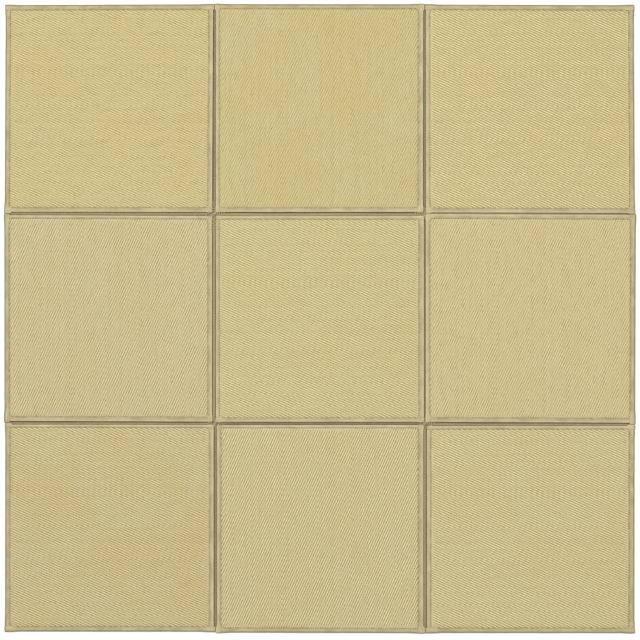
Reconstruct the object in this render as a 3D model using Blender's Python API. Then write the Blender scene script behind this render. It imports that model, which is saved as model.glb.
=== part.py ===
"""Folding tatami mat: nine rush panels in three rows of three, each bound on its four sides
with cloth tape and sewn to its neighbours by thread hinges.

Metres, +Z up. The origin is under the middle of the mat, on the face that lies on the floor.
+X is the mat's right and +Y its top, seen from above. The rushes of one panel run along X and
those of the next along Y, as on a chessboard.
"""

from collections import namedtuple
from itertools import chain, product
from math import pi

import bmesh
import bpy
from mathutils import Matrix, Vector

MM = 0.001

# Layers, and the play between two pieces that touch
THICKNESS = 8 * MM  # a bound panel, tape included
TAPE = 1 * MM  # the binding cloth
GAP = 0.3 * MM
LAYER = TAPE + GAP

# Every panel is made on this square, then pulled slightly out of true as it was sewn
SIDE = 594 * MM
HALF = SIDE / 2

# The tape's fold over the panel's edge, and its steps over or under another tape
FOLD_RADIUS = 1.5 * MM
FOLD_MIDDLE = 0.3 * FOLD_RADIUS  # the fold's middle lies this far in from both of its faces
STEP_RUN = 4 * MM  # length of a step's slope
STEP_CLEAR = 0.5 * MM  # from a step to the edge of the tape that it passes
END_ROUND = 0.7 * MM  # how far the closed end of a lapping tape is rounded in

# Thread hinges
HINGE_LOW = 3 * MM
HINGE_HIGH = 5 * MM
HINGE_END = 24 * MM  # from a panel's corner to the end of the stitching

# Colours as sRGB values from 0 to 1
RUSH_COLOUR = (0.83, 0.78, 0.56)
TAPE_COLOUR = (0.79, 0.73, 0.58)
THREAD_COLOUR = (0.71, 0.65, 0.49)

# Where the four sides of each panel lie, in mm from the mat's middle. A side is a straight line
# between two values: left and right are x at the panel's top and bottom, top and bottom are y at
# its left and right.
Outline = namedtuple(
    "Outline",
    "panel left_top left_bottom right_top right_bottom top_left top_right bottom_left bottom_right",
)
OUTLINES = (
    Outline("r1c1", -898.6, -901.6, -305.5, -308.4, 896.3, 898.5, 305.0, 304.4),
    Outline("r1c2", -297.2, -297.8, 295.3, 294.2, 899.1, 898.8, 304.4, 304.4),
    Outline("r1c3", 302.7, 302.7, 897.0, 899.8, 897.8, 895.8, 303.0, 301.5),
    Outline("r2c1", -902.7, -902.2, -308.7, -308.7, 295.8, 293.2, -292.7, -295.0),
    Outline("r2c2", -297.5, -297.5, 297.0, 297.0, 293.0, 293.0, -295.3, -295.3),
    Outline("r2c3", 302.2, 302.2, 902.7, 900.7, 299.2, 296.4, -295.6, -298.2),
    Outline("r3c1", -899.8, -900.4, -303.8, -303.8, -302.7, -304.2, -894.5, -895.1),
    Outline("r3c2", -294.4, -294.4, 295.3, 295.3, -304.2, -304.2, -897.7, -899.1),
    Outline("r3c3", 305.6, 305.6, 899.3, 898.4, -307.0, -307.0, -898.7, -899.1),
)

# How far the tape on each side of a panel reaches in over its face, in mm
Binding = namedtuple("Binding", "panel right top left bottom")
BINDINGS = (
    Binding("r1c1", right=13.5, top=15.5, left=15.0, bottom=13.5),
    Binding("r1c2", right=15.5, top=14.5, left=10.5, bottom=13.5),
    Binding("r1c3", right=16.0, top=15.5, left=12.5, bottom=13.5),
    Binding("r2c1", right=13.0, top=10.0, left=15.0, bottom=14.5),
    Binding("r2c2", right=15.5, top=10.0, left=11.0, bottom=12.5),
    Binding("r2c3", right=16.0, top=13.5, left=12.5, bottom=14.0),
    Binding("r3c1", right=13.5, top=8.5, left=15.0, bottom=15.5),
    Binding("r3c2", right=15.5, top=9.5, left=12.0, bottom=15.0),
    Binding("r3c3", right=17.0, top=10.0, left=12.5, bottom=15.5),
)

# A face whose normal is steeper than this looks straight up or down
FACING = 0.9

# The sides in anticlockwise order, a quarter turn apart, the first facing +X
SIDES = ("right", "top", "left", "bottom")

# Panels whose rushes run along Y. The others' run along X.
TURNED = ("r1c2", "r2c1", "r2c3", "r3c2")

# Two neighbours that a thread hinge joins, and the side of the first that it is sewn to
Hinge = namedtuple("Hinge", "name first second side")
HINGES = (
    Hinge("hinge_r1_c1c2", "r1c1", "r1c2", "right"),
    Hinge("hinge_r1_c2c3", "r1c2", "r1c3", "right"),
    Hinge("hinge_r2_c1c2", "r2c1", "r2c2", "right"),
    Hinge("hinge_r2_c2c3", "r2c2", "r2c3", "right"),
    Hinge("hinge_r3_c1c2", "r3c1", "r3c2", "right"),
    Hinge("hinge_r3_c2c3", "r3c2", "r3c3", "right"),
    Hinge("hinge_c1_r1r2", "r1c1", "r2c1", "bottom"),
    Hinge("hinge_c2_r1r2", "r1c2", "r2c2", "bottom"),
    Hinge("hinge_c3_r1r2", "r1c3", "r2c3", "bottom"),
    Hinge("hinge_c1_r2r3", "r2c1", "r3c1", "bottom"),
    Hinge("hinge_c2_r2r3", "r2c2", "r3c2", "bottom"),
    Hinge("hinge_c3_r2r3", "r2c3", "r3c3", "bottom"),
)

# One cross-section of a tape: where it stands along its side of the panel, how far its folded
# edge reaches out past the side's line, how far it reaches in, and its lowest and highest points
Section = namedtuple("Section", "along out inward low high")

# How many layers thicker than a corner each cell of a panel is, on its face and on its back.
# Columns run along the rushes and rows across them. The corners lie under two tapes, the rim
# under one, and the field under none.
CORNER, RIM, FIELD = 0, 1, 2
CELLS = (
    (CORNER, RIM, CORNER),
    (CORNER, FIELD, CORNER),
    (RIM, FIELD, RIM),
    (CORNER, FIELD, CORNER),
    (CORNER, RIM, CORNER),
)


def start_scene():
    """Empties the scene, and makes a collection for the mat and one for what cuts it."""
    for old in list(bpy.data.objects):
        bpy.data.objects.remove(old, do_unlink=True)
    made = []
    for name in ("tatami_mat", "cutters"):
        made.append(bpy.data.collections.new(name))
        bpy.context.scene.collection.children.link(made[-1])
    return made


def make_material(name, colour, roughness):
    material = bpy.data.materials.new(name)
    material.use_nodes = True
    shader = material.node_tree.nodes["Principled BSDF"]
    linear = [((value + 0.055) / 1.055) ** 2.4 for value in colour]
    shader.inputs["Base Color"].default_value = (*linear, 1.0)
    shader.inputs["Roughness"].default_value = roughness
    shader.inputs["Metallic"].default_value = 0.0
    return material


def corners_of(outline):
    """A panel's corners in metres: left bottom, right bottom, left top, right top. The sides are
    so nearly square to each other that their end values give them."""
    return (
        Vector((outline.left_bottom, outline.bottom_left, 0)) * MM,
        Vector((outline.right_bottom, outline.bottom_right, 0)) * MM,
        Vector((outline.left_top, outline.top_left, 0)) * MM,
        Vector((outline.right_top, outline.top_right, 0)) * MM,
    )


def hinge_corners(hinge, outlines):
    """The corners of the gap between two panels' sides, short of the panels' own corners."""
    first = corners_of(outlines[hinge.first])
    second = corners_of(outlines[hinge.second])
    start = HINGE_END / SIDE
    if hinge.side == "right":
        play = Vector((GAP, 0, 0))
        near = [first[1].lerp(first[3], share) + play for share in (start, 1 - start)]
        far = [second[0].lerp(second[2], share) - play for share in (start, 1 - start)]
        return near[0], far[0], near[1], far[1]
    play = Vector((0, GAP, 0))
    above = [first[0].lerp(first[1], share) - play for share in (start, 1 - start)]
    below = [second[2].lerp(second[3], share) + play for share in (start, 1 - start)]
    return below[0], below[1], above[0], above[1]


def pull_to_outline(bm, corners, middle):
    """Moves a mesh made on the true square onto its own four corners, seen from their middle."""
    left_bottom, right_bottom, left_top, right_top = corners
    for vert in bm.verts:
        across = vert.co.x / SIDE + 0.5
        up = vert.co.y / SIDE + 0.5
        low = left_bottom.lerp(right_bottom, across)
        high = left_top.lerp(right_top, across)
        place = low.lerp(high, up) - middle
        vert.co = (place.x, place.y, vert.co.z)


def add_piece(name, bm, corners, collection, parent):
    """Makes an object of a mesh that was made on the true square."""
    middle = sum(corners, Vector()) / len(corners)
    pull_to_outline(bm, corners, middle)
    bmesh.ops.recalc_face_normals(bm, faces=bm.faces)
    mesh = bpy.data.meshes.new(name)
    bm.to_mesh(mesh)
    bm.free()
    piece = bpy.data.objects.new(name, mesh)
    collection.objects.link(piece)
    piece.location = middle
    piece.parent = parent
    return piece


def grid_lines(low_tape, high_tape, *more):
    """Where a panel's height changes along one axis: at its edges, at the tapes and at more."""
    edge = HALF - LAYER
    return sorted((-edge, GAP + low_tape - HALF, HALF - high_tape - GAP, edge, *more))


def pocket_length(lapping_tape):
    """How far a corner's thinner cell runs along the tape that lies in it."""
    return lapping_tape + 2 * STEP_CLEAR + STEP_RUN


def lift(bm, faces, height):
    """Pulls a wall up round faces, and moves copies of them to its top."""
    made = bmesh.ops.extrude_face_region(bm, geom=faces, use_keep_orig=True)
    moved = [item for item in made["geom"] if isinstance(item, bmesh.types.BMVert)]
    bmesh.ops.translate(bm, verts=moved, vec=(0, 0, height))


def raise_cells(bm, level_of, level, direction):
    """Thickens the cells of a level and over by one layer, on the face or on the back."""
    facing = [face for face in bm.faces if face.normal.z * direction > FACING]
    cells = [face for face in facing if face[level_of] >= level]
    lift(bm, cells, direction * LAYER)
    bmesh.ops.delete(bm, geom=cells, context="FACES")
    bm.normal_update()


def rush_slab(binding, turned):
    """The woven rush panel, pressed thinner in a rim under the tapes and thinner again in the
    corners, where two tapes cross."""
    first = 1 if turned else 0
    ordered = [getattr(binding, side) * MM for side in SIDES[first:] + SIDES[:first]]
    end_high, lap_high, end_low, lap_low = ordered
    pockets = (pocket_length(lap_low) - HALF, HALF - pocket_length(lap_high))
    columns = grid_lines(end_low, end_high)
    rows = grid_lines(lap_low, lap_high, *pockets)
    bm = bmesh.new()
    level_of = bm.faces.layers.int.new("level")
    bmesh.ops.create_grid(bm, x_segments=len(columns) - 1, y_segments=len(rows) - 1, size=HALF)
    for vert, (y, x) in zip(bm.verts, product(rows, columns)):
        vert.co = (x, y, THICKNESS / 2)
    for face, level in zip(bm.faces, chain(*CELLS)):
        face[level_of] = level
    core = THICKNESS - 2 * FIELD * LAYER
    lift(bm, list(bm.faces), core)
    bmesh.ops.translate(bm, verts=bm.verts, vec=(0, 0, -core / 2))
    bmesh.ops.recalc_face_normals(bm, faces=bm.faces)
    bm.normal_update()
    for direction in (-1, 1):
        for level in (RIM, FIELD):
            raise_cells(bm, level_of, level, direction)
    bmesh.ops.rotate(bm, verts=bm.verts, matrix=Matrix.Rotation(first * pi / 2, 3, "Z"))
    return bm


def stepped(before, after):
    """Where a tape's steps start and end along it, between the tapes that cross its two ends."""
    low = before + STEP_CLEAR - HALF
    high = HALF - after - STEP_CLEAR
    return low, low + STEP_RUN, high - STEP_RUN, high


def tucked_sections(width, before, after, skin):
    """A tape across the rushes' ends. It dips under the lapping tapes at its own two ends."""
    steps = stepped(before, after)
    places = (skin - HALF, *steps, HALF - skin)
    drops = (LAYER, LAYER, 0, 0, LAYER, LAYER)
    return [
        Section(along, -skin, width + skin, drop + skin, THICKNESS - drop - skin)
        for along, drop in zip(places, drops)
    ]


def lapping_sections(width, before, after, skin):
    """A tape along the rushes. It steps out round the tucked tapes, and closes over them."""
    steps = stepped(before, after)
    end = HALF + LAYER - skin
    places = (-end, *steps, end)
    outs = (LAYER, LAYER, 0, 0, LAYER, LAYER)
    return [
        Section(along, out - skin, width + skin, skin, THICKNESS - skin)
        for along, out in zip(places, outs)
    ]


def round_ends(sections):
    """Rounds in the first and last sections, as cloth that is folded under."""

    def smaller(section):
        return section._replace(
            out=section.out - END_ROUND,
            low=section.low + END_ROUND,
            high=section.high - END_ROUND,
        )

    first, *rest, last = sections
    near_first = first._replace(along=first.along + END_ROUND)
    near_last = last._replace(along=last.along - END_ROUND)
    return [smaller(first), near_first, *rest, near_last, smaller(last)]


def folded_ring(section):
    """A section's outline, rounded where the tape folds over the panel's edge."""
    inner, out, low, high = -section.inward, section.out, section.low, section.high
    return (
        (inner, low),
        (out - FOLD_RADIUS, low),
        (out - FOLD_MIDDLE, low + FOLD_MIDDLE),
        (out, low + FOLD_RADIUS),
        (out, high - FOLD_RADIUS),
        (out - FOLD_MIDDLE, high - FOLD_MIDDLE),
        (out - FOLD_RADIUS, high),
        (inner, high),
    )


def square_ring(section):
    inner, out, low, high = -section.inward, section.out, section.low, section.high
    return (inner, low), (out, low), (out, high), (inner, high)


def lofted_bar(sections, outline_of, quarter_turns):
    """A closed bar through the sections on the side that faces +X, turned to its own side."""
    bm = bmesh.new()
    rings = [
        [bm.verts.new((HALF + out, section.along, z)) for out, z in outline_of(section)]
        for section in sections
    ]
    for near, far in zip(rings, rings[1:]):
        for k in range(len(near)):
            bm.faces.new((near[k - 1], near[k], far[k], far[k - 1]))
    bm.faces.new(rings[0])
    bm.faces.new(rings[-1])
    bmesh.ops.rotate(bm, verts=bm.verts, matrix=Matrix.Rotation(quarter_turns * pi / 2, 3, "Z"))
    return bm


def binding_tape(name, binding, turned, turn, corners, collections, parent):
    """One tape folded round a side of a panel: a bar with its inside cut out, open towards the
    panel's middle."""
    mat, cutters = collections
    tucked = turn % 2 == (1 if turned else 0)
    sections_of = tucked_sections if tucked else lapping_sections
    width, after, before = (
        getattr(binding, SIDES[(turn + step) % len(SIDES)]) * MM for step in (0, 1, -1)
    )
    outer = sections_of(width, before, after, skin=0)
    inner = sections_of(width, before, after, skin=TAPE)
    if not tucked:
        outer = round_ends(outer)
    tape = add_piece(name, lofted_bar(outer, folded_ring, turn), corners, mat, parent)
    hollow = add_piece(name + "_hollow", lofted_bar(inner, square_ring, turn), corners, cutters, parent)
    hollow.hide_render = True
    hollow.display_type = "WIRE"
    fold = tape.modifiers.new("fold", "BOOLEAN")
    fold.operation = "DIFFERENCE"
    fold.solver = "EXACT"
    fold.object = hollow
    return tape


def thread_hinge(hinge, outlines, collection, parent):
    """The plain envelope of the zigzag stitching that joins two panels."""
    bm = bmesh.new()
    size = Matrix.Diagonal((SIDE, SIDE, HINGE_HIGH - HINGE_LOW, 1))
    place = Matrix.Translation((0, 0, (HINGE_LOW + HINGE_HIGH) / 2))
    bmesh.ops.create_cube(bm, size=1, matrix=place @ size)
    return add_piece(hinge.name, bm, hinge_corners(hinge, outlines), collection, parent)


def build_mat():
    collections = start_scene()
    mat = collections[0]
    rush = make_material("woven_rush", RUSH_COLOUR, 0.6)
    cloth = make_material("binding_cloth", TAPE_COLOUR, 0.85)
    thread = make_material("hinge_thread", THREAD_COLOUR, 0.8)
    outlines = {outline.panel: outline for outline in OUTLINES}
    middle = bpy.data.objects.new("mat_middle", None)
    mat.objects.link(middle)
    for binding in BINDINGS:
        turned = binding.panel in TURNED
        corners = corners_of(outlines[binding.panel])
        slab = rush_slab(binding, turned)
        panel = add_piece("rush_" + binding.panel, slab, corners, mat, middle)
        panel.data.materials.append(rush)
        for turn, side in enumerate(SIDES):
            name = f"tape_{binding.panel}_{side}"
            tape = binding_tape(name, binding, turned, turn, corners, collections, middle)
            tape.data.materials.append(cloth)
    for hinge in HINGES:
        thread_hinge(hinge, outlines, mat, middle).data.materials.append(thread)


build_mat()
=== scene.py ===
from collections import namedtuple
from math import cos, floor, pi, sin

import bmesh
import bpy
from mathutils import Matrix, Vector, noise


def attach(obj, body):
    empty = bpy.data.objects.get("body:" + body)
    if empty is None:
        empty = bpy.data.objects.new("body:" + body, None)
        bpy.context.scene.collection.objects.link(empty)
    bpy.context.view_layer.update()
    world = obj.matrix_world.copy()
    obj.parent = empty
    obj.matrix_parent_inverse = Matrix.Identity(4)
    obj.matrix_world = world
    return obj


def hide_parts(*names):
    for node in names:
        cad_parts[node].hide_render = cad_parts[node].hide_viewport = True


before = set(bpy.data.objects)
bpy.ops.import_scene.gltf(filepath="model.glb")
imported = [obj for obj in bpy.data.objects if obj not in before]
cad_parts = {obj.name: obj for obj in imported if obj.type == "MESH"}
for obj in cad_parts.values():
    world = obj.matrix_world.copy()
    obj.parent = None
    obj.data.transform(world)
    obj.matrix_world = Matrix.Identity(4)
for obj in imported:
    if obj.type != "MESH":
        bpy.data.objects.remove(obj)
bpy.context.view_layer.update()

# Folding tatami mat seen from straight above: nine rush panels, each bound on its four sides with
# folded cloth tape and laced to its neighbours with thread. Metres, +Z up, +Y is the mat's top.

MM = 0.001

# Sizes shared with the CAD
THICKNESS = 8 * MM
TAPE = 1 * MM  # thickness of its cloth
GAP = 0.3 * MM  # clear between two pieces
LAYER = TAPE + GAP
SIDE = 594 * MM  # of the true square that every panel is made on
HALF = SIDE / 2
STEP_RUN = 4 * MM  # over which a tape steps round the one that it crosses
STEP_CLEAR = 0.5 * MM  # and how far that step stays from it

# Where each panel's sides end, in mm: x for the left and right sides, y for the top and bottom
Outline = namedtuple(
    "Outline",
    "panel left_top left_bottom right_top right_bottom top_left top_right bottom_left bottom_right",
)
OUTLINES = {
    row[0]: Outline(*row)
    for row in (
        ("r1c1", -898.6, -901.6, -305.5, -308.4, 896.3, 898.5, 305.0, 304.4),
        ("r1c2", -297.2, -297.8, 295.3, 294.2, 899.1, 898.8, 304.4, 304.4),
        ("r1c3", 302.7, 302.7, 897.0, 899.8, 897.8, 895.8, 303.0, 301.5),
        ("r2c1", -902.7, -902.2, -308.7, -308.7, 295.8, 293.2, -292.7, -295.0),
        ("r2c2", -297.5, -297.5, 297.0, 297.0, 293.0, 293.0, -295.3, -295.3),
        ("r2c3", 302.2, 302.2, 902.7, 900.7, 299.2, 296.4, -295.6, -298.2),
        ("r3c1", -899.8, -900.4, -303.8, -303.8, -302.7, -304.2, -894.5, -895.1),
        ("r3c2", -294.4, -294.4, 295.3, 295.3, -304.2, -304.2, -897.7, -899.1),
        ("r3c3", 305.6, 305.6, 899.3, 898.4, -307.0, -307.0, -898.7, -899.1),
    )
}

# How far each tape reaches in over the face, in mm
Binding = namedtuple("Binding", "panel right top left bottom")
BINDINGS = {
    row[0]: Binding(*row)
    for row in (
        ("r1c1", 13.5, 15.5, 15.0, 13.5),
        ("r1c2", 15.5, 14.5, 10.5, 13.5),
        ("r1c3", 16.0, 15.5, 12.5, 13.5),
        ("r2c1", 13.0, 10.0, 15.0, 14.5),
        ("r2c2", 15.5, 10.0, 11.0, 12.5),
        ("r2c3", 16.0, 13.5, 12.5, 14.0),
        ("r3c1", 13.5, 8.5, 15.0, 15.5),
        ("r3c2", 15.5, 9.5, 12.0, 15.0),
        ("r3c3", 17.0, 10.0, 12.5, 15.5),
    )
}
SIDES = ("right", "top", "left", "bottom")
TURNED = ("r1c2", "r2c1", "r2c3", "r3c2")  # their rushes run along Y, the others' along X

# Sides that are the mat's own edge, by the panel's row and column
OUTSIDE = {
    *((row + "3", "right") for row in "123"),
    *(("1" + column, "top") for column in "123"),
    *((row + "1", "left") for row in "123"),
    *(("3" + column, "bottom") for column in "123"),
}

# lean is how far the bundle of threads lies over, from -1 against the first panel to 1 against the
# second, dusk how sunk it is and how much painted shade darkens it, from 0 to 1, and the
# bars are the short threads that hold it at its start (left or bottom) and at its end
Hinge = namedtuple("Hinge", "node first second side lean dusk start_bars end_bars")
HINGES = (
    Hinge("hinge_r1_c1c2", "r1c1", "r1c2", "right", 0.9, 0.4, 5, 0),
    Hinge("hinge_r1_c2c3", "r1c2", "r1c3", "right", 0.2, 0.6, 2, 0),
    Hinge("hinge_r2_c1c2", "r2c1", "r2c2", "right", -0.2, 0.1, 1, 6),
    Hinge("hinge_r2_c2c3", "r2c2", "r2c3", "right", 0.7, 0.6, 0, 0),
    Hinge("hinge_r3_c1c2", "r3c1", "r3c2", "right", 0.5, 0.4, 0, 1),
    Hinge("hinge_r3_c2c3", "r3c2", "r3c3", "right", -0.6, 0.2, 0, 1),
    Hinge("hinge_c1_r1r2", "r1c1", "r2c1", "bottom", 0.0, 0.3, 0, 3),
    Hinge("hinge_c2_r1r2", "r1c2", "r2c2", "bottom", 0.8, 0.0, 4, 4),
    Hinge("hinge_c3_r1r2", "r1c3", "r2c3", "bottom", 0.9, 0.2, 0, 0),
    Hinge("hinge_c1_r2r3", "r2c1", "r3c1", "bottom", 1.0, 0.3, 0, 2),
    Hinge("hinge_c2_r2r3", "r2c2", "r3c2", "bottom", 0.0, 0.8, 3, 2),
    Hinge("hinge_c3_r2r3", "r2c3", "r3c3", "bottom", 1.0, 0.2, 4, 0),
)

# Threads crossed over each inner corner: how many lie sunk on one diagonal and on top on the other
Crossing = namedtuple("Crossing", "row column under over")
CROSSINGS = (
    Crossing(1, 1, 3, 2),
    Crossing(1, 2, 2, 3),
    Crossing(2, 1, 1, 2),
    Crossing(2, 2, 3, 2),
)

# Sizes of the finer forms
# The rush is woven in a 3/1 twill: a rush passes over three warps and under the fourth, one warp
# further along on each next rush.
RUSH = 1.735 * MM  # from one rush to the next
WARP = 3.9 * MM  # from one warp to the next
REPEAT_ALONG = 4 * WARP
REPEAT_ACROSS = 4 * RUSH
ALONG_STEP = REPEAT_ALONG / 4  # the relief's grid
ACROSS_STEP = REPEAT_ACROSS / 3
FIELD = 584 * MM  # the woven piece, whose edges lie inside the folded tapes
FACE = 7.45 * MM  # height of the weave's middle
RELIEF = 0.45 * MM  # from there to the ribs' crests and to their troughs
PRESSED = 1.4 * MM  # how much lower the weave is held under a tape
PRESS_RUN = 7 * MM  # over which it comes back up
EDGE = 2.8 * MM  # height to which the slab's face turns down inside the tapes
BACK = 0.2 * MM  # height of the woven back
BACK_SHARE = 0.985  # its width as a share of the step above it
SLAB_SWAY = 0.15 * MM  # how unevenly the slab lies

FOLD_OUTSIDE = 3.2 * MM  # radius of the tape's fold round the mat's own edge, which feet wear round
FOLD_INSIDE = 1.4 * MM  # and of the sharper folds along the laced gaps
SLIT = 1.5 * MM  # between two panels' corners on the mat's own edge, where the lapped cloth swells
SWELL_RUN = 26 * MM  # over which the mat's own edge swells towards a corner
SWELL = 1.2 * MM
CORNER_ROUND = 1.1 * MM  # how far the closed end of a lapping tape is rounded in
# The tape's face from its sewn inner edge outwards: share of its reach, and rise in mm
CROWN = ((1.0, -0.45), (0.94, -0.75), (0.84, -0.15), (0.63, 0.14), (0.44, 0.1))
SEWN = 0.94  # the row of stitches lies in that groove
# Painted shade in the sewn groove and along the tape's inner edge
GROOVE_SHADE = (0.85, 1.0, 0.25, 0.1)  # how much the groove darkens the tape, at CROWN's places
# Painted shade on a lapping tape's end, where it lies on the mat's own edge
END_SHADE = 0.9  # and how much a lapping tape's end is darkened on the mat's own edge
END_SHADE_RUN = (2.2 * MM, 4 * MM)  # from the end, where that begins to fade and where it is gone
FOLD_SWAY = 0.45 * MM  # how far the fold, the sewn edge and the face of a tape are uneven
EDGE_SWAY = 0.5 * MM
FACE_SWAY = 0.12 * MM
HEM = 6 * MM  # of cloth round the fold, beyond a tape's reach on the face and on the back
STITCH_PITCH = 6.6 * MM
STITCH = (0.75 * MM, 2.0 * MM, 0.4 * MM)  # half a stitch's width, length and height
STITCH_SLANT = 0.18  # radians
RING_STEP = 12 * MM  # between a tape's rings, away from its steps

# The bundle of threads in a gap: how far across from its middle, height in mm, and how much
# painted shade darkens its sunk sides
BUNDLE = (
    (1.0, 3.4, 0.7),
    (0.82, 4.2, 0.5),
    (0.5, 4.8, 0.25),
    (0.0, 4.8, 0.15),
    (-0.5, 4.3, 0.3),
    (-0.82, 3.2, 0.95),
    (-1.0, 2.4, 1.0),
    (-0.6, 1.8, 1.0),
    (0.6, 1.8, 1.0),
)
BUNDLE_STEPS = 60  # along it, besides the rings where swollen corners begin and end
LOOSE = 0.3 * MM  # between the bundle and the tapes
HINGE_INSET = 0.2 * MM  # from a panel's corner to the end of a bundle that doesn't run through
PAST_CORNER = (1.6 * MM, 2.4 * MM)  # past a corner, where the swollen cloth beside a bundle ends
DIVE_RUN = 28 * MM  # over which a bundle without bars sinks towards its end
BAR = 3.0 * MM  # width of the bars and of the crossed threads
BAR_SHARE = 0.4  # of the gap's width, which a bar doesn't pass
BAR_START = 3.4 * MM  # from a panel's corner to the first bar
BAR_PITCH = 6.4 * MM
CROSSED_PITCH = 3.4 * MM  # between the threads crossed over an inner corner
LACE_PITCH = 8.6 * MM
LACE = 3.0 * MM  # width of the lacing thread
LACE_SHARE = 0.27  # of the gap's width, which the lacing thread doesn't pass
LACE_STEPS = 6  # points to a turn of it
HINGE_HEIGHT = 4.2 * MM  # the lacing's middle

PIXELS = 640
PIXELS_PER_METRE = 350.02  # of the photograph, on the mat's face
EYE = (-0.1 * MM, -4.2 * MM)  # the point of the mat that the camera looks straight down on
LENS = 100.0
SENSOR = 36.0
FLOOR = 40  # half the width of the background paper, in metres


def smooth(low, high, value):
    """0 below low, 1 above high, and a smooth step between them."""
    share = min(1.0, max(0.0, (value - low) / (high - low)))
    return share * share * (3 - 2 * share)


def mix(a, b, share):
    return a + (b - a) * share


def is_tucked(panel, turn):
    """Whether the tape on a side dips under the lapping ones, as those at the rush ends do."""
    return turn % 2 == (1 if panel in TURNED else 0)


def corners_of(panel):
    """A panel's corners: left bottom, right bottom, left top, right top."""
    line = OUTLINES[panel]
    return (
        Vector((line.left_bottom, line.bottom_left, 0)) * MM,
        Vector((line.right_bottom, line.bottom_right, 0)) * MM,
        Vector((line.left_top, line.top_left, 0)) * MM,
        Vector((line.right_top, line.top_right, 0)) * MM,
    )


def in_corners(corners, across, up):
    """The point at these shares of the way across and up between four corners."""
    low = corners[0].lerp(corners[1], across)
    high = corners[2].lerp(corners[3], across)
    return low.lerp(high, up)


def pull_to_outline(bm, panel):
    """Moves a mesh made on the true square onto the panel's own four corners."""
    corners = corners_of(panel)
    for vert in bm.verts:
        place = in_corners(corners, vert.co.x / SIDE + 0.5, vert.co.y / SIDE + 0.5)
        vert.co = (place.x, place.y, vert.co.z)


def make_piece(name, bm, material, flat_angle=None):
    """A piece of the mat from a finished mesh, smooth except at edges sharper than the angle."""
    mesh = bpy.data.meshes.new(name)
    bm.to_mesh(mesh)
    bm.free()
    mesh.polygons.foreach_set("use_smooth", [True] * len(mesh.polygons))
    if flat_angle:
        mesh.set_sharp_from_angle(angle=flat_angle)
    mesh.materials.append(material)
    piece = bpy.data.objects.new(name, mesh)
    bpy.context.scene.collection.objects.link(piece)
    return piece


def loft(bm, rings, marks=None, layer=None):
    """A closed tube through rings of points: a grid rolled up, welded along its seam and capped.
    marks are what a layer of the mesh holds at each point."""
    around = len(rings[0])
    made = bmesh.ops.create_grid(bm, x_segments=around, y_segments=len(rings) - 1, size=1)
    verts = made["verts"]
    for vert, point in zip(verts, (p for ring in rings for p in (*ring, ring[0]))):
        vert.co = point
    if layer is not None:
        for vert, mark in zip(verts, (m for ring in marks for m in (*ring, ring[0]))):
            vert[layer] = mark
    seam = {verts[k + around]: verts[k] for k in range(0, len(verts), around + 1)}
    ends = [verts[:around], verts[-around - 1 : -1]]
    bmesh.ops.weld_verts(bm, targetmap=seam)
    for end in ends:
        bm.faces.new(end)


def tube(bm, path, radius, sides, layer=None, mark=0.0):
    """A round thread along a path of points."""
    rings = []
    side = None
    for k, point in enumerate(path):
        ahead = (path[min(k + 1, len(path) - 1)] - path[max(k - 1, 0)]).normalized()
        if side is None:
            side = ahead.orthogonal().normalized()
        side = (side - ahead * side.dot(ahead)).normalized()
        up = ahead.cross(side)
        turns = [2 * pi * n / sides for n in range(sides)]
        rings.append([point + (side * cos(a) + up * sin(a)) * radius for a in turns])
    loft(bm, rings, [[mark] * sides] * len(rings), layer)


# Materials
def linear(code):
    """An sRGB hex colour as the linear values that Blender works in."""
    values = [int(code[k : k + 2], 16) / 255 for k in (1, 3, 5)]
    return (*((v / 12.92 if v <= 0.04045 else ((v + 0.055) / 1.055) ** 2.4) for v in values), 1.0)


def add(tree, kind, inputs=None, **settings):
    """Adds a node. An input is a value, or a socket or node to link from."""
    made = tree.nodes.new("ShaderNode" + kind)
    for name, value in settings.items():
        setattr(made, name, value)
    for name, value in (inputs or {}).items():
        source = value.outputs[0] if isinstance(value, bpy.types.Node) else value
        if isinstance(source, bpy.types.NodeSocket):
            tree.links.new(source, made.inputs[name])
        else:
            made.inputs[name].default_value = source
    return made


def start_material(name):
    material = bpy.data.materials.new(name)
    material.use_nodes = True
    material.node_tree.nodes.clear()
    return material, material.node_tree


# What Mix nodes for colours are set to, and their sockets: the two colours and the blend of them
BLENDED = {"data_type": "RGBA", "blend_type": "MIX"}
TINTED = {"data_type": "RGBA", "blend_type": "MULTIPLY"}
UNDER, OVER, BLEND = 6, 7, 2


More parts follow.
